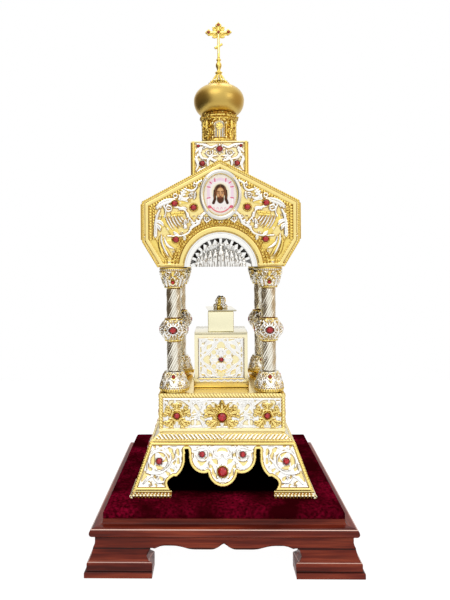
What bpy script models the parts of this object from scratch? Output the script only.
"""Altar tabernacle: a gilt and silvered hood on four columns over a small casket.

It stands on a velvet-topped wooden stand. Metres, +Z up. The origin is the middle
of the underside of the stand's feet, and the front faces -Y.
"""
import itertools
import math

import bmesh
import bpy
from mathutils import Matrix, Vector

MM = 0.001
GAP = 0.3 * MM
QUARTER = math.pi / 2
ROOT_TWO = math.sqrt(2)
SIDES = {"front": 0, "right": 1, "back": 2, "left": 3}
CORNERS = {"front_left": (-1, -1), "front_right": (1, -1), "back_left": (-1, 1), "back_right": (1, 1)}

# Wooden stand
FOOT_HALF = 136.7 * MM
FOOT_INNER_END = 70.0 * MM
FOOT_TOP = 25.9 * MM
FRAME_INNER_HALF = 112.0 * MM
APRON_BOTTOM = 25.0 * MM
APRON_TOP = 36.3 * MM
APRON_HALF = 127.6 * MM
APRON_FOOT_HALF = 129.4 * MM
BOARD_BOTTOM = 36.6 * MM
BOARD_HALF = 132.6 * MM
BOARD_LEDGE = 46.0 * MM
BOARD_TOP = 51.3 * MM
PAD_HALF = 121.0 * MM
PAD_TOP = 61.4 * MM

# Splayed base
SKIRT_BOTTOM = PAD_TOP + GAP
SKIRT_BOTTOM_HALF = 97.5 * MM
SKIRT_BAND_TOP = 68.0 * MM
SKIRT_BAND_HALF = 94.0 * MM
SKIRT_TOP = 113.4 * MM
SKIRT_TOP_HALF = 77.7 * MM
SKIRT_WALL = 2.6 * MM
SKIRT_TOP_WALL = 8.6 * MM
LEDGE_BOTTOM = SKIRT_TOP + GAP
LEDGE_TOP = 120.6 * MM
LEDGE_TOP_HALF = 68.6 * MM

# Pendants and feet of the base, seen from the front
LOBE_RADIUS = 16.0 * MM
SIDE_LOBE = (19.9 * MM, 99.5 * MM)
MIDDLE_LOBE = (0.0, 87.4 * MM)
FOOT_LOBE = (-61.4 * MM, 98.0 * MM)
FOOT_LOBE_RADIUS = 21.5 * MM
FOOT_INNER = -53.0 * MM
SLOT_TOP = 106.6 * MM
SLOT_PENDANT_END = -36.6 * MM

# Pedestal box
BOX_HALF = 68.0 * MM
BOX_BOTTOM = LEDGE_TOP + GAP
BOX_TOP = 164.1 * MM
BOX_FLOOR = 162.0 * MM
BOX_WALL = 2.0 * MM
BOX_PANEL_HALF = 64.5 * MM
BOX_PANEL_THICKNESS = 1.0 * MM
FLOWER_SPACING = 49.4 * MM
FLOWER_HEIGHT = 140.0 * MM
MIDDLE_FLOWER_HEIGHT = 138.4 * MM

# Columns
COLUMN_AT = 53.0 * MM
COLUMN_FOOT = BOX_FLOOR + GAP
COLUMN_BASE_TOP = 186.0 * MM
COLUMN_KNOT_BOTTOM = 220.0 * MM
COLUMN_KNOT_TOP = 245.2 * MM
COLUMN_CAPITAL_BOTTOM = 279.0 * MM
COLUMN_TOP = 302.0 * MM
SHAFT_RADIUS = 8.3 * MM
FLUTE_DEPTH = 1.3 * MM
FLUTES = 5
SHAFT_LEVELS = 4
SHAFT_TWIST = math.radians(140)

# Casket
CASKET_PLINTH_HALF = 32.0 * MM
CASKET_PLINTH_TOP = 171.6 * MM
CASKET_HALF = 30.5 * MM
CASKET_TOP = 223.7 * MM
CASKET_WALL = 1.5 * MM
CASKET_PANEL_HALF = 26.8 * MM
CASKET_PANEL_THICKNESS = 1.7 * MM
CASKET_STONE_HEIGHT = 194.2 * MM
CASKET_LID_HALF = 30.8 * MM
CASKET_LID_TOP = 226.0 * MM
UPPER_BOX_HALF_WIDTH = 15.0 * MM
UPPER_BOX_HALF_DEPTH = 28.5 * MM
UPPER_BOX_TOP = 249.8 * MM
UPPER_LID_TOP = 251.6 * MM
UPPER_LID_BRIM = 1.4 * MM
UPPER_LID_TURN = math.radians(4)

# Hood
HOOD_DEPTH_HALF = 68.0 * MM
HOOD_WALL = 1.8 * MM
HOOD_BOTTOM = COLUMN_TOP + GAP
HOOD_BOTTOM_HALF = 69.6 * MM
HOOD_CHAMFER_TOP = 330.2 * MM
HOOD_EAVE = 374.6 * MM
HOOD_EAVE_HALF = 86.4 * MM
HOOD_RIDGE = 419.8 * MM
HOOD_OPENING_HALF = 37.0 * MM
HOOD_PANEL_DEPTH = HOOD_DEPTH_HALF + GAP
GABLE_THICKNESS = 1.4 * MM
SIDE_PANEL_THICKNESS = 1.2 * MM
ARCH_CENTRE = 300.2 * MM
ARCH_RADIUS = 41.4 * MM
ARCH_BAND = 6.5 * MM
ARCH_POINTS = 15
LUNETTE_RADIUS = 40.2 * MM
LUNETTE_DEPTH = HOOD_DEPTH_HALF - 2.6 * MM
LUNETTE_THICKNESS = 1.2 * MM
LUNETTE_RAYS = 14
MEDALLION_CENTRE = 381.0 * MM
MEDALLION_HALF_WIDTH = 23.1 * MM
MEDALLION_HALF_HEIGHT = 27.5 * MM
MEDALLION_RING = 5.0 * MM
MEDALLION_THICKNESS = 3.2 * MM
ENAMEL_THICKNESS = 2.0 * MM
MEDALLION_POINTS = 16

# Top box, drum, dome and cross
TOP_BOX_HALF = 32.3 * MM
TOP_BOX_TOP = 447.8 * MM
TOP_BOX_WALL = 1.6 * MM
DRUM_BOTTOM = TOP_BOX_TOP + GAP
DRUM_RADIUS = 20.6 * MM
COLLAR_RADIUS = 23.4 * MM
COLLAR_TOP = 452.0 * MM
CORNICE_BOTTOM = 479.6 * MM
CORNICE_WIDEST = 483.2 * MM
DRUM_TOP = 486.0 * MM
DRUM_SIDES = 16
NICHES = 8
NICHE_HALF = 5.2 * MM
NICHE_DEPTH = 2.0 * MM
NICHE_SILL = 456.0 * MM
NICHE_SPRING = 469.0 * MM
DOME_BOTTOM = DRUM_TOP + GAP
DOME_RADIUS = 30.5 * MM
DOME_WIDEST = 503.6 * MM
DOME_TOP = 522.0 * MM
DOME_CROWN = 9.0 * MM
DOME_SIDES = 16
FINIAL_TOP = 556.0 * MM
CROSS_TOP = 600.0 * MM
CROSS_HALF_SPAN = 15.8 * MM
CROSS_BAR_HEIGHT = 587.2 * MM
CROSS_BAR_HALF = 1.5 * MM
CROSS_THICKNESS = 2.6 * MM
FOOT_BAR_HEIGHT = 570.5 * MM
FOOT_BAR_SLANT = math.radians(28)

# Radius and height of the cut stones
TINY_STONE = (2.2 * MM, 1.8 * MM)
SMALL_STONE = (3.2 * MM, 1.8 * MM)
TOP_STONE = (4.0 * MM, 2.3 * MM)
STONE = (4.8 * MM, 2.6 * MM)
KNOT_STONE = (5.4 * MM, 3.4 * MM)
LARGE_STONE = (6.8 * MM, 3.0 * MM)


# Scene and materials

def clear_scene():
    """Remove what the file holds and make the two collections."""
    for thing in list(bpy.data.objects):
        bpy.data.objects.remove(thing, do_unlink=True)
    collections = []
    for name in ("altar_tabernacle", "cutters"):
        collection = bpy.data.collections.new(name)
        bpy.context.scene.collection.children.link(collection)
        collections.append(collection)
    return collections


PARTS, CUTTERS = clear_scene()


def metal_or_cloth(name, colour, roughness, metallic):
    """Make a plain Principled material."""
    material = bpy.data.materials.new(name)
    material.use_nodes = True
    shader = material.node_tree.nodes["Principled BSDF"]
    shader.inputs["Base Color"].default_value = (*colour, 1.0)
    shader.inputs["Roughness"].default_value = roughness
    shader.inputs["Metallic"].default_value = metallic
    return material


GOLD = metal_or_cloth("gold", (0.83, 0.60, 0.22), 0.25, 1.0)
SATIN_GOLD = metal_or_cloth("satin_gold", (0.62, 0.42, 0.13), 0.40, 1.0)
SILVER = metal_or_cloth("silver", (0.85, 0.84, 0.80), 0.25, 1.0)
ENAMEL = metal_or_cloth("enamel", (0.90, 0.82, 0.80), 0.20, 0.0)
WOOD = metal_or_cloth("mahogany", (0.16, 0.03, 0.02), 0.30, 0.0)
VELVET = metal_or_cloth("velvet", (0.20, 0.005, 0.02), 0.90, 0.0)


# Making objects

def place(name, mesh, material):
    """Add a part to the scene under its own name."""
    thing = bpy.data.objects.new(name, mesh)
    mesh.materials.clear()
    mesh.materials.append(material)
    PARTS.objects.link(thing)
    return thing


def face_volume(face):
    """Give six times the signed volume between a face and the origin."""
    first, *rest = [vert.co for vert in face.verts]
    return sum(first.dot(here.cross(after)) for here, after in zip(rest, rest[1:]))


def face_outward(bm):
    """Turn every closed body so that its faces point out."""
    bmesh.ops.recalc_face_normals(bm, faces=bm.faces)
    seen = set()
    for start in bm.faces:
        if start in seen:
            continue
        body = [start]
        seen.add(start)
        for face in body:
            for edge in face.edges:
                fresh = [other for other in edge.link_faces if other not in seen]
                body.extend(fresh)
                seen.update(fresh)
        if sum(face_volume(face) for face in body) < 0:
            bmesh.ops.reverse_faces(bm, faces=body)


def from_bmesh(name, bm):
    """Turn a bmesh into a mesh with its faces pointing out."""
    face_outward(bm)
    mesh = bpy.data.meshes.new(name)
    bm.to_mesh(mesh)
    bm.free()
    return mesh


def tool(bm, matrix=Matrix()):
    """Make a cutter or an addition, which the render leaves out."""
    bm.transform(matrix)
    thing = bpy.data.objects.new("tool", from_bmesh("tool", bm))
    CUTTERS.objects.link(thing)
    thing.hide_render = True
    thing.display_type = "WIRE"
    return thing


def combine(thing, other, operation):
    """Join, cut or intersect a part with another shape."""
    boolean = thing.modifiers.new(operation.lower(), "BOOLEAN")
    boolean.operation = operation
    boolean.solver = "EXACT"
    boolean.use_self = operation == "UNION"
    boolean.object = other


def turned(name, profile, material, steps, around=0.0):
    """Turn a profile of (radius, height) points, listed from the top down."""
    mesh = bpy.data.meshes.new(name)
    edges = [(index, index + 1) for index in range(len(profile) - 1)]
    if profile[0][0] > 0:
        edges.append((len(profile) - 1, 0))
    mesh.from_pydata([(radius, 0, height) for radius, height in profile], edges, [])
    thing = place(name, mesh, material)
    thing.rotation_euler.z = around
    screw = thing.modifiers.new("turn", "SCREW")
    screw.steps = steps
    screw.render_steps = steps
    screw.use_merge_vertices = True
    screw.merge_threshold = 0.00001
    return thing


def squared(name, profile, material):
    """Run a moulding of (half width, height) points round a square."""
    widened = [(half * ROOT_TWO, height) for half, height in profile]
    return turned(name, widened, material, 4, QUARTER / 2)


def box_into(bm, low, high, matrix=Matrix()):
    """Add a box between two corners."""
    low = Vector(low)
    high = Vector(high)
    size = Matrix.Diagonal((*(high - low), 1.0))
    bmesh.ops.create_cube(bm, size=1.0, matrix=matrix @ Matrix.Translation((low + high) / 2) @ size)


def loft_into(bm, rings, matrix=Matrix()):
    """Join rings of points, all of one length, into a closed body."""
    rows = []
    for ring in rings:
        rows.append([bm.verts.new(matrix @ Vector(point)) for point in ring])
    count = len(rows[0])
    for lower, upper in zip(rows, rows[1:]):
        for index in range(count):
            after = (index + 1) % count
            bm.faces.new((lower[index], lower[after], upper[after], upper[index]))
    bm.faces.new(list(reversed(rows[0])))
    bm.faces.new(rows[-1])


def plate_mesh(name, outlines, thickness):
    """Fill flat outlines, the first the rim and the rest holes, to a plate in XY from z = 0."""
    curve = bpy.data.curves.new(name, "CURVE")
    curve.dimensions = "2D"
    curve.fill_mode = "BOTH"
    curve.extrude = thickness / 2
    for outline in outlines:
        spline = curve.splines.new("POLY")
        spline.points.add(len(outline) - 1)
        for point, (across, up) in zip(spline.points, outline):
            point.co = (across, up, 0, 1)
        spline.use_cyclic_u = True
    flat = bpy.data.objects.new(name, curve)
    PARTS.objects.link(flat)
    depsgraph = bpy.context.evaluated_depsgraph_get()
    mesh = bpy.data.meshes.new_from_object(flat.evaluated_get(depsgraph))
    bpy.data.objects.remove(flat, do_unlink=True)
    bm = bmesh.new()
    bm.from_mesh(mesh)
    bmesh.ops.remove_doubles(bm, verts=bm.verts, dist=0.00001)
    bmesh.ops.dissolve_limit(bm, angle_limit=0.001, verts=bm.verts, edges=bm.edges)
    bmesh.ops.translate(bm, vec=(0, 0, thickness / 2), verts=bm.verts)
    face_outward(bm)
    bm.to_mesh(mesh)
    bm.free()
    return mesh


def plate(name, outlines, thickness, matrix, material):
    """Make a part that is a flat plate."""
    mesh = plate_mesh(name, outlines, thickness)
    mesh.transform(matrix)
    return place(name, mesh, material)


def plate_tool(outline, thickness, matrix):
    """Make a cutter from a flat outline."""
    bm = bmesh.new()
    bm.from_mesh(plate_mesh("tool", [outline], thickness))
    return tool(bm, matrix)


def face_matrix(depth, side=0, height=0.0, lean=0.0):
    """Give the frame of an upright face: x across it, y up it and z out of it.

    A leaning face is turned back about its line at that depth and height.
    """
    upright = Matrix(((1, 0, 0, 0), (0, 0, -1, 0), (0, 1, 0, 0), (0, 0, 0, 1)))
    tip = Matrix.Translation((0, -depth, height)) @ Matrix.Rotation(-lean, 4, "X") @ upright
    return Matrix.Rotation(side * QUARTER, 4, "Z") @ tip


def raised_by(matrix, distance):
    """Give a face's frame moved out of the face."""
    return matrix @ Matrix.Translation((0, 0, distance))


def rows_in_mm(rows):
    """Turn rows of millimetres into metres."""
    return [tuple(value * MM for value in row) for row in rows]


# Ornament, drawn on a face with x across, y up and z out of it

# Each shape starts inside the face, at a depth unlike that of the ones before it,
# so that shapes that overlap share no plane.
SINKS = itertools.cycle([depth * MM for depth in (0.40, 0.43, 0.46, 0.49, 0.52, 0.55, 0.58)])


def boss_into(bm, centre, radius, height, sides, matrix, top=0.0):
    """Add a cut stone or a boss, pointed or with a flat top of that share of its width."""
    sink = next(SINKS)
    middle = (centre[0], centre[1], (height - sink) / 2)
    turn = Matrix.Rotation(math.pi / sides, 4, "Z")
    bmesh.ops.create_cone(
        bm, cap_ends=True, segments=sides, radius1=radius, radius2=radius * top,
        depth=height + sink, matrix=matrix @ Matrix.Translation(middle) @ turn)


def stone_into(bm, centre, stone, matrix):
    """Add one six-sided stone."""
    boss_into(bm, centre, *stone, 6, matrix)


def stone_pair_into(bm, centre, stone, matrix):
    """Add a stone on both halves of a face."""
    stone_into(bm, centre, stone, matrix)
    stone_into(bm, (-centre[0], centre[1]), stone, matrix)


def ribbon_into(bm, points, widths, height, matrix):
    """Add a ridge along points, with its half width at each of them."""
    sink = next(SINKS)
    rings = []
    for index, (point, width) in enumerate(zip(points, widths)):
        before = Vector(points[max(index - 1, 0)])
        after = Vector(points[min(index + 1, len(points) - 1)])
        along = (after - before).normalized()
        across = Vector((-along.y, along.x)) * width
        crest = height * min(1.0, 0.35 + width / max(widths))
        left = (point[0] + across.x, point[1] + across.y, -sink)
        right = (point[0] - across.x, point[1] - across.y, -sink)
        rings.append([left, (point[0], point[1], crest), right])
    loft_into(bm, rings, matrix)


def arc_points(centre, radius, start, end, count, rise=None):
    """Give points along an arc between angles in degrees, of a circle or an oval of that rise."""
    rise = radius if rise is None else rise
    points = []
    for index in range(count):
        angle = math.radians(start + (end - start) * index / (count - 1))
        points.append((centre[0] + radius * math.cos(angle), centre[1] + rise * math.sin(angle)))
    return points


def leaf_widths(count, widest):
    """Give half widths that swell towards the root and end nearly in a point."""
    widths = []
    for index in range(count):
        share = index / (count - 1)
        widths.append(widest * (0.15 + 0.85 * math.sin(math.pi * (0.12 + 0.80 * share))))
    return widths


def scroll_into(bm, centre, radius, start, end, count, widest, height, matrix):
    """Add a curved leaf on both halves of a face."""
    for mirror in (1, -1):
        points = arc_points(centre, radius, start, end, count)
        points = [(mirror * across, up) for across, up in points]
        ribbon_into(bm, points, leaf_widths(count, widest), height, matrix)


def petals_into(bm, centre, inner, outer, width, count, height, matrix):
    """Add a ring of petals, each a ridge that widens from a narrow root."""
    for index in range(count):
        angle = 2 * math.pi * index / count + math.pi / 2
        ray = Vector((math.cos(angle), math.sin(angle)))
        root = (centre[0] + ray.x * inner, centre[1] + ray.y * inner)
        tip = (centre[0] + ray.x * outer, centre[1] + ray.y * outer)
        ribbon_into(bm, [root, tip], [width * 0.6, width], height, matrix)


def raised(bm, outlines, thickness, matrix):
    """Add a flat raised shape that starts a little inside the face."""
    sink = next(SINKS)
    mesh = plate_mesh("raised", outlines, thickness + sink)
    mesh.transform(raised_by(matrix, -sink))
    bm.from_mesh(mesh)


def rectangle(half, low, high):
    """Give a rectangle's corners."""
    return [(-half, low), (half, low), (half, high), (-half, high)]


def drawn_in(corners, inset):
    """Move every edge of a counter-clockwise outline inwards by a margin."""
    moved = []
    count = len(corners)
    for index in range(count):
        before = Vector(corners[index - 1])
        here = Vector(corners[index])
        after = Vector(corners[(index + 1) % count])
        first = (here - before).normalized()
        second = (after - here).normalized()
        first_in = Vector((-first.y, first.x))
        second_in = Vector((-second.y, second.x))
        middle = first_in + second_in
        moved.append(tuple(here + middle * (inset / (middle.length_squared / 2))))
    return moved


# Wooden stand

def stand_board():
    """Make the board: a fillet round the pad's bed over a bullnose edge."""
    soft = 0.5 * MM
    nose_radius = (BOARD_LEDGE - BOARD_BOTTOM) / 2
    cove = 1.7 * MM
    nose = arc_points((BOARD_HALF - nose_radius, BOARD_BOTTOM + nose_radius), nose_radius, 90, -90, 6)
    squared("stand_board", [
        (0, BOARD_TOP), (PAD_HALF - soft, BOARD_TOP), (PAD_HALF, BOARD_TOP - soft),
        (PAD_HALF, BOARD_LEDGE + cove), (PAD_HALF + cove, BOARD_LEDGE),
        *nose, (0, BOARD_BOTTOM)], WOOD)


def apron_edge():
    """Give the outline of what is cut off below the apron's shaped lower edge."""
    foot_seat = FOOT_TOP + GAP
    foot_end = FOOT_INNER_END - 0.4 * MM
    right = [(FOOT_HALF, foot_seat), (foot_end, foot_seat), (foot_end - 0.1 * MM, APRON_BOTTOM)]
    right += rows_in_mm([(60.0, 28.7), (49.0, 28.7), (30.1, 25.0), (10.2, 25.0)])
    middle = (0, 30.9 * MM)
    left = [(-across, up) for across, up in reversed(right)]
    below = APRON_BOTTOM - 5 * MM
    return [(FOOT_HALF, below), *right, middle, *left, (-FOOT_HALF, below)]


def stand_apron():
    """Make the frame under the board: a cove outside and shaped edges below."""
    thing = squared("stand_apron", [
        (APRON_HALF, APRON_TOP), (APRON_HALF, APRON_TOP - 5.0 * MM),
        (APRON_HALF + 0.5 * MM, APRON_TOP - 8.0 * MM), (APRON_FOOT_HALF, APRON_TOP - 10.2 * MM),
        (APRON_FOOT_HALF, APRON_BOTTOM), (FRAME_INNER_HALF, APRON_BOTTOM),
        (FRAME_INNER_HALF, APRON_TOP)], WOOD)
    for side in SIDES.values():
        reach = FOOT_HALF - FRAME_INNER_HALF + 4 * MM
        cutter = plate_tool(apron_edge(), reach, face_matrix(FRAME_INNER_HALF - 2 * MM, side))
        combine(thing, cutter, "DIFFERENCE")


def foot_recess():
    """Give the outline cut out between two feet, above their step."""
    right = rows_in_mm([(70.0, 14.2), (75.6, 16.6), (75.6, 23.4), (72.0, 30.0)])
    return [(-across, up) for across, up in right] + right[::-1]


def stand_feet():
    """Make the four mitred bracket feet, cut from one run of moulding."""
    reach = FOOT_HALF - FRAME_INNER_HALF + 4 * MM
    step = FOOT_HALF - 2.2 * MM
    for corner, (right, back) in CORNERS.items():
        thing = squared("stand_foot_" + corner, [
            (FOOT_HALF - 7.2 * MM, FOOT_TOP), (FOOT_HALF - 6.6 * MM, 22.0 * MM),
            (FOOT_HALF - 4.8 * MM, 17.5 * MM), (FOOT_HALF - 3.4 * MM, 15.0 * MM),
            (step, 14.2 * MM), (step, 6.6 * MM), (FOOT_HALF, 5.6 * MM), (FOOT_HALF, 0),
            (FRAME_INNER_HALF, 0), (FRAME_INNER_HALF, FOOT_TOP)], WOOD)
        near = FOOT_INNER_END
        far = FOOT_HALF + 10 * MM
        low = (min(right * near, right * far), min(back * near, back * far), -10 * MM)
        high = (max(right * near, right * far), max(back * near, back * far), FOOT_TOP + 10 * MM)
        bm = bmesh.new()
        box_into(bm, low, high)
        combine(thing, tool(bm), "INTERSECT")
        for side in ("right" if right > 0 else "left", "back" if back > 0 else "front"):
            matrix = face_matrix(FRAME_INNER_HALF - 2 * MM, SIDES[side])
            combine(thing, plate_tool(foot_recess(), reach, matrix), "DIFFERENCE")


def velvet_pad():
    """Make the pad with softly rounded upper edges."""
    squared("velvet_pad", [
        (0, PAD_TOP), (PAD_HALF - 5.0 * MM, PAD_TOP), (PAD_HALF - 2.0 * MM, PAD_TOP - 1.2 * MM),
        (PAD_HALF - 0.4 * MM, PAD_TOP - 3.6 * MM), (PAD_HALF, BOARD_TOP + GAP),
        (0, BOARD_TOP + GAP)], VELVET)


# Splayed base

def skirt_opening():
    """Give the left half of the gap between foot and pendant, as seen from the front."""
    points = [(FOOT_INNER, SKIRT_BOTTOM - 10 * MM), (FOOT_INNER, SKIRT_BOTTOM)]
    points += rows_in_mm([(-56.8, 69.8), (-58.4, 73.8), (-56.4, 77.4)])
    points += arc_points(FOOT_LOBE, FOOT_LOBE_RADIUS, -54, -4, 3)
    points += [(FOOT_LOBE[0] + FOOT_LOBE_RADIUS - 0.4 * MM, SLOT_TOP), (SLOT_PENDANT_END, SLOT_TOP)]
    points += arc_points((-SIDE_LOBE[0], SIDE_LOBE[1]), LOBE_RADIUS, 175, 278, 5)
    points += arc_points(MIDDLE_LOBE, LOBE_RADIUS, 174, 270, 4)
    return points


def skirt_lean():
    """Give the lean of the skirt's sides from upright."""
    return math.atan2(SKIRT_BAND_HALF - SKIRT_TOP_HALF, SKIRT_TOP - SKIRT_BAND_TOP)


def on_skirt(across, height):
    """Turn a place at a real height into the leaning face's own coordinates."""
    return (across, (height - SKIRT_BAND_TOP) / math.cos(skirt_lean()))


def skirt_ornament(bm, matrix, plain):
    """Add the stones and leaf scrolls of one side of the base."""
    foot_stone = on_skirt(68.2 * MM, 94.9 * MM)
    foot_leaf = on_skirt(73.0 * MM, 76.5 * MM)
    stone_pair_into(bm, foot_stone, STONE, matrix)
    stone_pair_into(bm, on_skirt(21.7 * MM, 101.8 * MM), STONE, matrix)
    boss_into(bm, on_skirt(0, 84.0 * MM), *LARGE_STONE, 8, matrix)
    if not plain:
        lift = 1.4 * MM
        scroll_into(bm, foot_stone, 9.0 * MM, 30, 240, 4, 2.4 * MM, lift, matrix)
        scroll_into(bm, foot_leaf, 9.0 * MM, 190, -10, 4, 2.6 * MM, lift, matrix)


def base_skirt():
    """Make the splayed shell with its feet and pendants."""
    inner = SKIRT_BAND_HALF - SKIRT_WALL
    thing = squared("base_skirt", [
        (SKIRT_TOP_HALF, SKIRT_TOP), (SKIRT_BAND_HALF, SKIRT_BAND_TOP),
        (SKIRT_BOTTOM_HALF - 0.6 * MM, SKIRT_BAND_TOP - 1.0 * MM), (SKIRT_BOTTOM_HALF, SKIRT_BOTTOM),
        (inner, SKIRT_BOTTOM), (inner, SKIRT_BAND_TOP), (SKIRT_TOP_HALF - SKIRT_TOP_WALL, SKIRT_TOP)],
        SILVER)
    left = skirt_opening()
    right = [(-across, up) for across, up in reversed(left)]
    outline = left + right[1:]
    span = 2 * SKIRT_BOTTOM_HALF + 20 * MM
    for side in (0, 1):
        combine(thing, plate_tool(outline, span, face_matrix(-span / 2, side)), "DIFFERENCE")
    bm = bmesh.new()
    for name, side in SIDES.items():
        matrix = face_matrix(SKIRT_BAND_HALF, side, SKIRT_BAND_TOP, skirt_lean())
        skirt_ornament(bm, matrix, name != "front")
    combine(thing, tool(bm), "UNION")


def base_ledge():
    """Make the sloping moulding between the splayed base and the box."""
    rise = LEDGE_TOP - LEDGE_BOTTOM
    run = SKIRT_TOP_HALF - LEDGE_TOP_HALF
    inner = BOX_HALF - BOX_WALL
    squared("base_ledge", [
        (LEDGE_TOP_HALF, LEDGE_TOP), (LEDGE_TOP_HALF + run * 0.45, LEDGE_TOP - rise * 0.28),
        (LEDGE_TOP_HALF + run * 0.85, LEDGE_BOTTOM + rise * 0.28),
        (SKIRT_TOP_HALF, LEDGE_BOTTOM + 1.2 * MM), (SKIRT_TOP_HALF, LEDGE_BOTTOM),
        (inner, LEDGE_BOTTOM), (inner, LEDGE_TOP)], GOLD)


# Pedestal box

def pedestal_box():
    """Make the box: a polished floor inside a low rim, open below."""
    inner = BOX_HALF - BOX_WALL
    squared("pedestal_box", [
        (0, BOX_FLOOR), (inner, BOX_FLOOR), (inner, BOX_TOP), (BOX_HALF, BOX_TOP),
        (BOX_HALF, BOX_BOTTOM), (inner, BOX_BOTTOM), (inner, BOX_FLOOR - BOX_WALL),
        (0, BOX_FLOOR - BOX_WALL)], GOLD)


def flower_into(bm, centre, size, petals, matrix):
    """Add a stone, with a ring of petals under it unless it has none."""
    radius, height = STONE
    boss_into(bm, centre, radius * size, height, 6, matrix)
    if petals:
        petals_into(bm, centre, 3.0 * MM * size, 9.5 * MM * size, 2.4 * MM * size, petals, 1.1 * MM, matrix)


def pedestal_panels():
    """Make the four relief plates with their three stone-set flowers."""
    low = BOX_BOTTOM + 5.5 * MM
    high = BOX_TOP - 6.0 * MM
    outline = rectangle(BOX_PANEL_HALF, low, high)
    leaf = (25.5 * MM, FLOWER_HEIGHT - 1.0 * MM)
    for name, side in SIDES.items():
        matrix = face_matrix(BOX_HALF + GAP, side)
        thing = plate("pedestal_panel_" + name, [outline], BOX_PANEL_THICKNESS, matrix, SILVER)
        front = name == "front"
        on_plate = raised_by(matrix, BOX_PANEL_THICKNESS)
        bm = bmesh.new()
        flower_into(bm, (0, MIDDLE_FLOWER_HEIGHT), 1.35, 5, on_plate)
        for mirror in (-1, 1):
            flower_into(bm, (mirror * FLOWER_SPACING, FLOWER_HEIGHT), 1.0, 5 if front else 0, on_plate)
        if front:
            scroll_into(bm, leaf, 9.0 * MM, 60, 290, 5, 2.0 * MM, 1.0 * MM, on_plate)
        combine(thing, tool(bm), "UNION")


# Columns

# Radius, depth of the hollows and height above the piece's own foot, in millimetres
BASE_ROWS = [
    (12.3, 0.0, 0.0), (12.3, 0.0, 2.2), (15.8, 0.4, 2.6), (15.9, 1.4, 8.7), (12.6, 1.2, 16.7),
    (9.4, 0.0, 23.7)]
KNOT_ROWS = [(9.4, 0.0, 0.0), (13.4, 1.8, 6.2), (14.6, 2.6, 12.6), (13.2, 1.6, 19.4), (9.4, 0.0, 25.2)]
CAPITAL_ROWS = [
    (9.2, 0.0, 0.0), (11.0, 1.4, 5.0), (13.0, 2.0, 12.0), (15.0, 1.8, 18.6), (14.8, 0.0, 20.6),
    (14.8, 0.0, 23.0)]


def lobed_ring(radius, depth, count, height, twist=0.0):
    """Give a ring of lobes, whose hollows lie deeper than their crests."""
    ring = []
    for index in range(2 * count):
        reach = radius if index % 2 == 0 else radius - depth
        angle = math.pi * index / count + twist
        ring.append((reach * math.cos(angle), reach * math.sin(angle), height))
    return ring


def lobed(name, bottom, rows, count, material, at=(0, 0), twist=0.0):
    """Make a lobed solid from (radius, depth of the hollows, height) rows, from the foot up."""
    full_height = rows[-1][2]
    rings = []
    for radius, depth, height in rows:
        rings.append(lobed_ring(radius, depth, count, bottom + height, twist * height / full_height))
    bm = bmesh.new()
    loft_into(bm, rings)
    thing = place(name, from_bmesh(name, bm), material)
    thing.location = (at[0], at[1], 0)
    return thing


def shaft(name, bottom, top, at):
    """Make a twisted fluted shaft between two heights."""
    rows = []
    for level in range(SHAFT_LEVELS + 1):
        rows.append((SHAFT_RADIUS, FLUTE_DEPTH, (top - bottom) * level / SHAFT_LEVELS))
    lobed(name, bottom, rows, FLUTES, SILVER, at, SHAFT_TWIST)


def column(corner, right, back):
    """Make one column from its base, two twisted shafts, knot and capital."""
    at = (right * COLUMN_AT, back * COLUMN_AT)
    lobed("column_base_" + corner, COLUMN_FOOT, rows_in_mm(BASE_ROWS), 5, GOLD, at)
    shaft("column_shaft_lower_" + corner, COLUMN_BASE_TOP + GAP, COLUMN_KNOT_BOTTOM - GAP, at)
    thing = lobed("column_knot_" + corner, COLUMN_KNOT_BOTTOM, rows_in_mm(KNOT_ROWS), 4, GOLD, at)
    middle = (0, (COLUMN_KNOT_BOTTOM + COLUMN_KNOT_TOP) / 2)
    bm = bmesh.new()
    for side in SIDES.values():
        stone_into(bm, middle, KNOT_STONE, face_matrix(13.4 * MM, side))
    combine(thing, tool(bm, Matrix.Translation((*at, 0))), "UNION")
    shaft("column_shaft_upper_" + corner, COLUMN_KNOT_TOP + GAP, COLUMN_CAPITAL_BOTTOM - GAP, at)
    lobed("column_capital_" + corner, COLUMN_CAPITAL_BOTTOM, rows_in_mm(CAPITAL_ROWS), 5, GOLD, at)


# Casket

FINIAL_ROWS = [(8.4, 0.0, 0.0), (8.6, 1.6, 1.7), (4.8, 0.9, 5.5), (5.8, 1.0, 9.1), (1.6, 0.0, 13.7)]


def casket_ornament(bm, middle, matrix, plain):
    """Add the raised panel, four hearts and stone of one side."""
    outline = rectangle(CASKET_PANEL_HALF, CASKET_PLINTH_TOP + 2 * GAP, CASKET_TOP - 3.8 * MM)
    raised(bm, [outline], CASKET_PANEL_THICKNESS, matrix)
    on_panel = raised_by(matrix, CASKET_PANEL_THICKNESS)
    stone_into(bm, middle, SMALL_STONE, on_panel)
    if not plain:
        petals_into(bm, middle, 4.0 * MM, 16.0 * MM, 3.4 * MM, 4, 0.8 * MM, on_panel)


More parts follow.
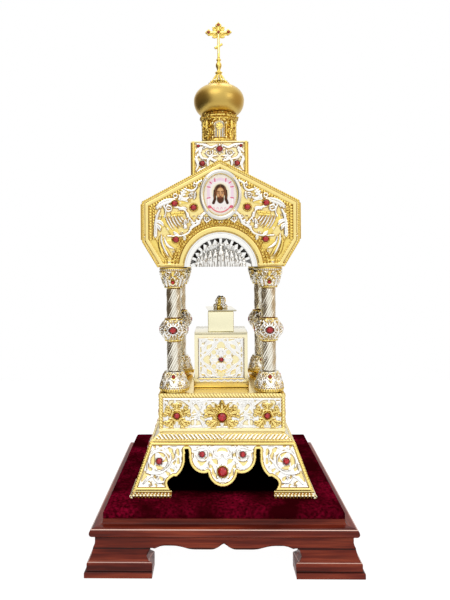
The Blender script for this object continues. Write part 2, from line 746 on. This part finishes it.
def casket():
    """Make the casket: its plinth, hollow body and lid."""
    edge = 0.6 * MM
    squared("casket_plinth", [
        (0, CASKET_PLINTH_TOP), (CASKET_PLINTH_HALF - edge, CASKET_PLINTH_TOP),
        (CASKET_PLINTH_HALF, CASKET_PLINTH_TOP - edge), (CASKET_PLINTH_HALF, COLUMN_FOOT),
        (0, COLUMN_FOOT)], GOLD)
    bottom = CASKET_PLINTH_TOP + GAP
    inner = CASKET_HALF - CASKET_WALL
    body = squared("casket_body", [
        (0, bottom + CASKET_WALL), (inner, bottom + CASKET_WALL), (inner, CASKET_TOP),
        (CASKET_HALF, CASKET_TOP), (CASKET_HALF, bottom), (0, bottom)], SILVER)
    bm = bmesh.new()
    middle = (0, CASKET_STONE_HEIGHT)
    for name, side in SIDES.items():
        casket_ornament(bm, middle, face_matrix(CASKET_HALF, side), name != "front")
    combine(body, tool(bm), "UNION")
    squared("casket_lid", [
        (0, CASKET_LID_TOP), (CASKET_LID_HALF - edge, CASKET_LID_TOP),
        (CASKET_LID_HALF, CASKET_LID_TOP - edge), (CASKET_LID_HALF, CASKET_TOP + GAP),
        (0, CASKET_TOP + GAP)], GOLD)


def upper_casket():
    """Make the smaller box on the lid, hollow too, with its lid a little turned and a finial."""
    bottom = CASKET_LID_TOP + GAP
    wide = UPPER_BOX_HALF_WIDTH
    deep = UPPER_BOX_HALF_DEPTH
    wall = CASKET_WALL
    bm = bmesh.new()
    box_into(bm, (-wide, -deep, bottom), (wide, deep, UPPER_BOX_TOP))
    thing = place("casket_upper_box", from_bmesh("casket_upper_box", bm), GOLD)
    bm = bmesh.new()
    box_into(bm, (wall - wide, wall - deep, bottom + wall), (wide - wall, deep - wall, UPPER_BOX_TOP + MM))
    combine(thing, tool(bm), "DIFFERENCE")
    bm = bmesh.new()
    wide += UPPER_LID_BRIM
    deep += UPPER_LID_BRIM
    box_into(bm, (-wide, -deep, UPPER_BOX_TOP + GAP), (wide, deep, UPPER_LID_TOP))
    lid = place("casket_upper_lid", from_bmesh("casket_upper_lid", bm), GOLD)
    lid.rotation_euler.z = UPPER_LID_TURN
    bevel = lid.modifiers.new("edge", "BEVEL")
    bevel.width = 0.4 * MM
    bevel.segments = 1
    lobed("casket_finial", UPPER_LID_TOP + GAP, rows_in_mm(FINIAL_ROWS), 5, SILVER)


# Hood

# Places on the gable, in millimetres across and up; each is mirrored
GABLE_STONES = [(50.0, 372.0), (29.3, 367.4), (48.9, 332.5)]
# Centre, radius, start and end angle, number of points and half width of each leaf
ACANTHUS = [((52.0, 350.0), 25.0, 95, 35, 4, 3.6), ((60.0, 349.0), 13.5, 60, -60, 4, 2.8)]
FRONT_LEAVES = [
    ((22.0, 322.0), 32.0, 92, 40, 3, 3.2), ((36.0, 378.0), 12.0, 190, 30, 4, 2.6),
    ((84.0, 332.0), 25.0, 165, 222, 3, 2.0), ((74.0, 377.0), 25.0, 214, 262, 3, 2.0),
    ((74.0, 377.0), 32.0, 214, 262, 3, 2.0)]


def hood_outline(inset=0.0):
    """Give the hood's six-cornered section, drawn in by an even margin."""
    corners = [
        (HOOD_BOTTOM_HALF, HOOD_BOTTOM), (HOOD_EAVE_HALF, HOOD_CHAMFER_TOP),
        (HOOD_EAVE_HALF, HOOD_EAVE), (0, HOOD_RIDGE), (-HOOD_EAVE_HALF, HOOD_EAVE),
        (-HOOD_EAVE_HALF, HOOD_CHAMFER_TOP), (-HOOD_BOTTOM_HALF, HOOD_BOTTOM)]
    return drawn_in(corners, inset)


def half_disc(radius, base):
    """Give the part of the arch's disc above a level, counter-clockwise from the right."""
    start = math.degrees(math.asin((base - ARCH_CENTRE) / radius))
    return arc_points((0, ARCH_CENTRE), radius, start, 180 - start, ARCH_POINTS)


def arch_cutter(radius, matrix, reach):
    """Make the tool that opens an arch through a wall."""
    below = HOOD_BOTTOM - 8 * MM
    arch = half_disc(radius, HOOD_BOTTOM - 1 * MM)
    return plate_tool([*arch, (arch[-1][0], below), (arch[0][0], below)], reach, matrix)


def hood_shell():
    """Make the hollow gabled hood with a ring plate below and two arches."""
    matrix = face_matrix(-HOOD_DEPTH_HALF)
    shell = plate("canopy_shell", [hood_outline()], 2 * HOOD_DEPTH_HALF, matrix, GOLD)
    inner_half = HOOD_DEPTH_HALF - HOOD_WALL
    hollow = plate_tool(hood_outline(HOOD_WALL), 2 * inner_half, face_matrix(-inner_half))
    combine(shell, hollow, "DIFFERENCE")
    reach = HOOD_OPENING_HALF
    bm = bmesh.new()
    box_into(bm, (-reach, -reach, HOOD_BOTTOM - 5 * MM), (reach, reach, HOOD_BOTTOM + 5 * MM))
    combine(shell, tool(bm), "DIFFERENCE")
    through = 2 * HOOD_DEPTH_HALF + 10 * MM
    combine(shell, arch_cutter(LUNETTE_RADIUS + GAP, face_matrix(-through / 2), through), "DIFFERENCE")


def gable_ornament(bm, matrix, plain):
    """Add stones, acanthus, wings and tails to both halves of a gable."""
    lift = 1.4 * MM
    for centre in rows_in_mm(GABLE_STONES):
        stone_pair_into(bm, centre, STONE, matrix)
    for centre, radius, start, end, count, widest in ACANTHUS if plain else ACANTHUS + FRONT_LEAVES:
        middle = (centre[0] * MM, centre[1] * MM)
        scroll_into(bm, middle, radius * MM, start, end, count, widest * MM, lift, matrix)


def gable_panels():
    """Make the relief plates of the front and back gables."""
    for name in ("front", "back"):
        matrix = face_matrix(HOOD_PANEL_DEPTH, SIDES[name])
        thing = plate("canopy_panel_" + name, [hood_outline(1.5 * MM)], GABLE_THICKNESS, matrix, GOLD)
        on_plate = raised_by(matrix, GABLE_THICKNESS)
        border = [hood_outline(2.0 * MM), list(reversed(hood_outline(7.5 * MM)))]
        bm = bmesh.new()
        raised(bm, border, 1.2 * MM, on_plate)
        gable_ornament(bm, on_plate, name == "back")
        combine(thing, tool(bm), "UNION")
        bm = bmesh.new()
        raised(bm, [half_disc(ARCH_RADIUS + ARCH_BAND, HOOD_BOTTOM + 2.5 * MM)], 1.0 * MM, on_plate)
        combine(thing, tool(bm), "UNION")
        combine(thing, arch_cutter(ARCH_RADIUS, raised_by(matrix, -5 * MM), 15 * MM), "DIFFERENCE")
        combine(thing, plate_tool(oval(-GAP), 6 * MM, on_plate), "DIFFERENCE")


def oval(inset):
    """Give the medallion's oval outline drawn in by a margin, counter-clockwise."""
    half_width = MEDALLION_HALF_WIDTH - inset
    half_height = MEDALLION_HALF_HEIGHT - inset
    last = 360 - 360 / MEDALLION_POINTS
    return arc_points((0, MEDALLION_CENTRE), half_width, 0, last, MEDALLION_POINTS, half_height)


def medallions():
    """Make the two oval frames and the enamels inside them."""
    depth = HOOD_PANEL_DEPTH + GABLE_THICKNESS + GAP
    ring = [oval(0), list(reversed(oval(MEDALLION_RING)))]
    for name in ("front", "back"):
        matrix = face_matrix(depth, SIDES[name])
        plate("medallion_frame_" + name, ring, MEDALLION_THICKNESS, matrix, SILVER)
        plate("medallion_enamel_" + name, [oval(MEDALLION_RING + GAP)], ENAMEL_THICKNESS, matrix, ENAMEL)


def side_panels():
    """Make the plainer relief plates on the hood's upright side walls."""
    low = HOOD_CHAMFER_TOP + 2 * MM
    high = HOOD_EAVE - 2 * MM
    outline = rectangle(HOOD_DEPTH_HALF - 3 * MM, low, high)
    middle = (0, (low + high) / 2)
    leaf = (36.0 * MM, middle[1])
    for name in ("left", "right"):
        matrix = face_matrix(HOOD_EAVE_HALF + GAP, SIDES[name])
        thing = plate("canopy_panel_" + name, [outline], SIDE_PANEL_THICKNESS, matrix, GOLD)
        on_plate = raised_by(matrix, SIDE_PANEL_THICKNESS)
        bm = bmesh.new()
        stone_into(bm, middle, STONE, on_plate)
        petals_into(bm, middle, 4.0 * MM, 12.0 * MM, 2.8 * MM, 4, 1.2 * MM, on_plate)
        scroll_into(bm, leaf, 13.0 * MM, 200, 10, 4, 2.8 * MM, 1.3 * MM, on_plate)
        combine(thing, tool(bm), "UNION")


def figure_into(bm, across, foot, height, matrix):
    """Add one standing robed figure in low relief, with a round head."""
    girth = height * 0.19
    robe = [(across, foot), (across, foot + height * 0.80)]
    ribbon_into(bm, robe, [girth, girth * 0.55], 1.5 * MM, matrix)
    head = (across, foot + height * 0.88)
    boss_into(bm, head, height * 0.12, 1.6 * MM, 4, matrix, 0.7)


def ray_hole(ray):
    """Give one of the wedge-shaped gaps round the figures."""
    angle = 12 + (ray + 0.5) * 156 / LUNETTE_RAYS
    centre = (0, ARCH_CENTRE)
    inner = arc_points(centre, 27.0 * MM, angle, angle + 1, 2)[0]
    outer = arc_points(centre, 32.5 * MM, angle - 3.6, angle + 3.6, 2)
    return [inner, outer[0], outer[1]]


def lunettes():
    """Make the pierced half-round plates in the arches, with a group of figures."""
    base = HOOD_BOTTOM + GAP
    outlines = [half_disc(LUNETTE_RADIUS, base)]
    for ray in range(LUNETTE_RAYS):
        outlines.append(list(reversed(ray_hole(ray))))
    foot = base + 2.0 * MM
    for name in ("front", "back"):
        matrix = face_matrix(LUNETTE_DEPTH, SIDES[name])
        thing = plate("canopy_lunette_" + name, outlines, LUNETTE_THICKNESS, matrix, SILVER)
        on_plate = raised_by(matrix, LUNETTE_THICKNESS)
        bm = bmesh.new()
        figure_into(bm, 0, foot + 0.5 * MM, 23 * MM, on_plate)
        for mirror in (-1, 1):
            figure_into(bm, mirror * 8.5 * MM, foot, 18.0 * MM, on_plate)
            if name == "front":
                figure_into(bm, mirror * 16.5 * MM, foot, 14.0 * MM, on_plate)
        combine(thing, tool(bm), "UNION")


# Top box, drum, dome and cross

def roof_cutter():
    """Make the tool that fits the top box to the hood's roof."""
    slope = math.atan2(HOOD_RIDGE - HOOD_EAVE, HOOD_EAVE_HALF)
    rise = GAP / math.cos(slope)
    below = HOOD_EAVE - 60 * MM
    roof = [
        (HOOD_EAVE_HALF, below), (HOOD_EAVE_HALF, HOOD_EAVE + rise), (0, HOOD_RIDGE + rise),
        (-HOOD_EAVE_HALF, HOOD_EAVE + rise), (-HOOD_EAVE_HALF, below)]
    half = TOP_BOX_HALF + 10 * MM
    return plate_tool(roof, 2 * half, face_matrix(-half))


def top_box():
    """Make the box astride the ridge, hollow and open below, with stone-set scrolls."""
    edge = 0.5 * MM
    foot = HOOD_EAVE + 20 * MM
    inner = TOP_BOX_HALF - TOP_BOX_WALL
    ceiling = TOP_BOX_TOP - TOP_BOX_WALL
    thing = squared("top_box", [
        (0, TOP_BOX_TOP), (TOP_BOX_HALF - edge, TOP_BOX_TOP), (TOP_BOX_HALF, TOP_BOX_TOP - edge),
        (TOP_BOX_HALF, foot), (inner, foot), (inner, ceiling), (0, ceiling)], GOLD)
    bm = bmesh.new()
    for name, side in SIDES.items():
        matrix = face_matrix(TOP_BOX_HALF, side)
        stone_into(bm, (0, 437.6 * MM), TOP_STONE, matrix)
        stone_pair_into(bm, (20.1 * MM, 420.5 * MM), TOP_STONE, matrix)
        if name == "front":
            stone_pair_into(bm, (24.6 * MM, 440.8 * MM), TINY_STONE, matrix)
            scroll_into(bm, (13.5 * MM, 433.0 * MM), 7.0 * MM, 130, -110, 4, 1.8 * MM, 1.2 * MM, matrix)
    combine(thing, tool(bm), "UNION")
    combine(thing, roof_cutter(), "DIFFERENCE")


def drum():
    """Make the collar and drum with a ring of round-headed niches."""
    thing = turned("drum", [
        (0, DRUM_TOP), (COLLAR_RADIUS - 1.0 * MM, DRUM_TOP), (COLLAR_RADIUS, CORNICE_WIDEST),
        (DRUM_RADIUS, CORNICE_BOTTOM), (DRUM_RADIUS, COLLAR_TOP),
        (COLLAR_RADIUS, DRUM_BOTTOM + 0.8 * MM), (COLLAR_RADIUS, DRUM_BOTTOM), (0, DRUM_BOTTOM)],
        GOLD, DRUM_SIDES, math.pi / DRUM_SIDES)
    arch = arc_points((0, NICHE_SPRING), NICHE_HALF, 0, 180, 5)
    outline = [(-NICHE_HALF, NICHE_SILL), (NICHE_HALF, NICHE_SILL), *arch]
    bm = bmesh.new()
    for niche in range(NICHES):
        mesh = plate_mesh("niche", [outline], 3 * NICHE_DEPTH)
        turn = Matrix.Rotation(2 * math.pi * niche / NICHES, 4, "Z")
        mesh.transform(turn @ face_matrix(DRUM_RADIUS - NICHE_DEPTH))
        bm.from_mesh(mesh)
    combine(thing, tool(bm), "DIFFERENCE")


def dome():
    """Make the onion dome from two oval arcs."""
    crown = DOME_RADIUS - DOME_CROWN
    waist = DOME_RADIUS - 17.5 * MM
    upper = arc_points((DOME_CROWN, DOME_WIDEST), crown, 90, 0, 6, DOME_TOP - DOME_WIDEST)
    lower = arc_points((17.5 * MM, DOME_WIDEST), waist, -20, -75, 4, 17.8 * MM)
    turned("dome", [(0, DOME_TOP), *upper, *lower[:-1], (21.0 * MM, DOME_BOTTOM), (0, DOME_BOTTOM)],
           SATIN_GOLD, DOME_SIDES)


# Radius, depth of the hollows and height above the dome, in millimetres
DOME_FINIAL_ROWS = [
    (12.4, 2.6, 0.0), (9.6, 1.8, 4.1), (5.2, 0.8, 9.7), (3.0, 0.0, 13.7), (4.2, 0.0, 15.7),
    (2.0, 0.0, 18.9), (3.8, 0.0, 24.3), (1.8, 0.0, 29.7), (2.6, 0.0, 31.7), (2.0, 0.0, 33.7)]


def dome_finial():
    """Make the petalled cone with beads and a vase above it."""
    lobed("dome_finial", DOME_TOP + GAP, rows_in_mm(DOME_FINIAL_ROWS), 4, GOLD)


def trefoil_into(bm, centre, angle, matrix, thickness):
    """Add the three round lobes at the end of an arm."""
    reach = 2.5 * MM
    radius = 2.3 * MM
    for turn in (-90, 0, 90):
        ray = math.radians(angle + turn)
        at = (centre[0] + reach * math.cos(ray), centre[1] + reach * math.sin(ray), 0)
        bmesh.ops.create_cone(
            bm, cap_ends=True, segments=6, radius1=radius, radius2=radius,
            depth=thickness, matrix=matrix @ Matrix.Translation(at))


def cross():
    """Make the cross with lobed ends and a slanted foot bar."""
    matrix = face_matrix(0)
    thick = CROSS_THICKNESS / 2
    bar = CROSS_BAR_HALF
    lobe_inset = 4.8 * MM
    reach = CROSS_HALF_SPAN - lobe_inset
    top = CROSS_TOP - lobe_inset
    bm = bmesh.new()
    box_into(bm, (-bar, FINIAL_TOP + GAP, -thick), (bar, top, thick), matrix)
    thing = place("cross", from_bmesh("cross", bm), GOLD)
    thin = thick - 0.15 * MM
    thinner = thick - 0.25 * MM
    bm = bmesh.new()
    box_into(bm, (-reach, CROSS_BAR_HEIGHT - bar, -thin), (reach, CROSS_BAR_HEIGHT + bar, thin), matrix)
    trefoil_into(bm, (0, top), 90, matrix, 2 * thinner)
    trefoil_into(bm, (reach, CROSS_BAR_HEIGHT), 0, matrix, 2 * thinner)
    trefoil_into(bm, (-reach, CROSS_BAR_HEIGHT), 180, matrix, 2 * thinner)
    slant = Matrix.Translation((0, FOOT_BAR_HEIGHT, 0)) @ Matrix.Rotation(FOOT_BAR_SLANT, 4, "Z")
    box_into(bm, (-5.0 * MM, -1.1 * MM, -thinner), (5.0 * MM, 1.1 * MM, thinner), matrix @ slant)
    combine(thing, tool(bm), "UNION")


def build():
    """Make every part from the feet up."""
    stand_feet()
    stand_apron()
    stand_board()
    velvet_pad()
    base_skirt()
    base_ledge()
    pedestal_box()
    pedestal_panels()
    for corner, (right, back) in CORNERS.items():
        column(corner, right, back)
    casket()
    upper_casket()
    hood_shell()
    gable_panels()
    medallions()
    side_panels()
    lunettes()
    top_box()
    drum()
    dome()
    dome_finial()
    cross()


build()
